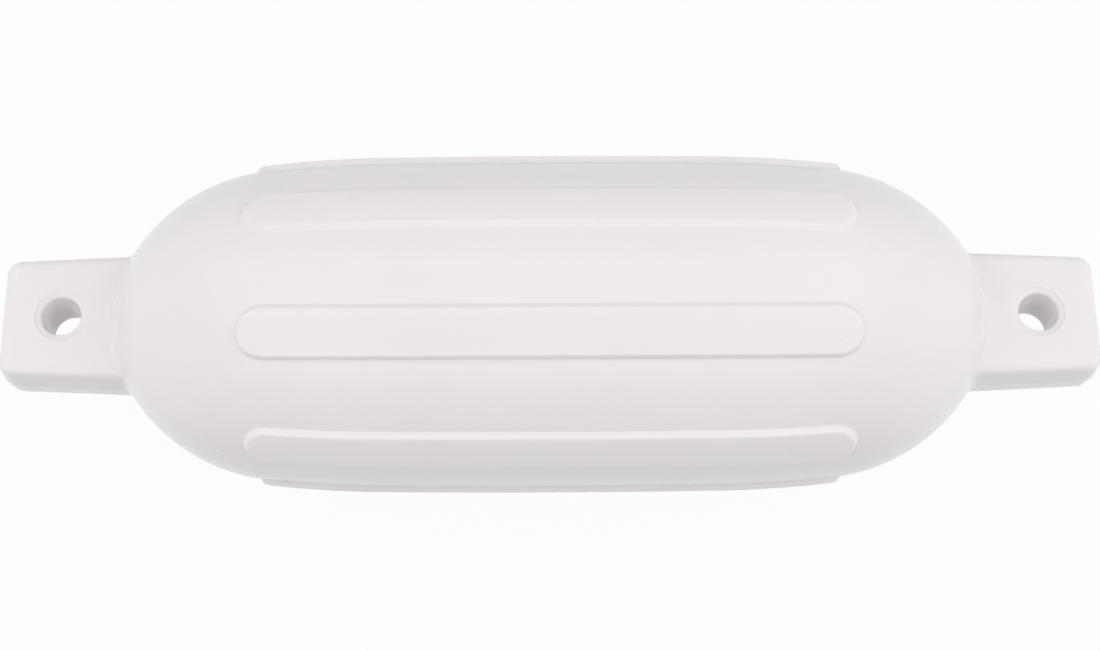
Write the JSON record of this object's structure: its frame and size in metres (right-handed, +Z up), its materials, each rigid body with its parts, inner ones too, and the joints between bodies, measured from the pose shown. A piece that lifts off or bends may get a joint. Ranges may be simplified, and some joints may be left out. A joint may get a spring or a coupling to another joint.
{
  "type": "boat fender",
  "caption": "Inflatable vinyl boat fender: a ribbed round body with domed ends and a thick rectangular eye at each end for a line.",
  "frame": {"origin": "on the ground, below the middle of the fender as it lies on its underside between two ribs", "axes": "+X along the fender's length, +Z up and square to the flat faces of both eyes"},
  "size_m": [0.695, 0.208, 0.208],
  "materials": {
    "vinyl": "gloss",
    "valve_rubber": "satin"
  },
  "bodies": {
    "root": {"fender_body": "vinyl", "inflation_valve": "valve_rubber"}
  },
  "joints": []
}
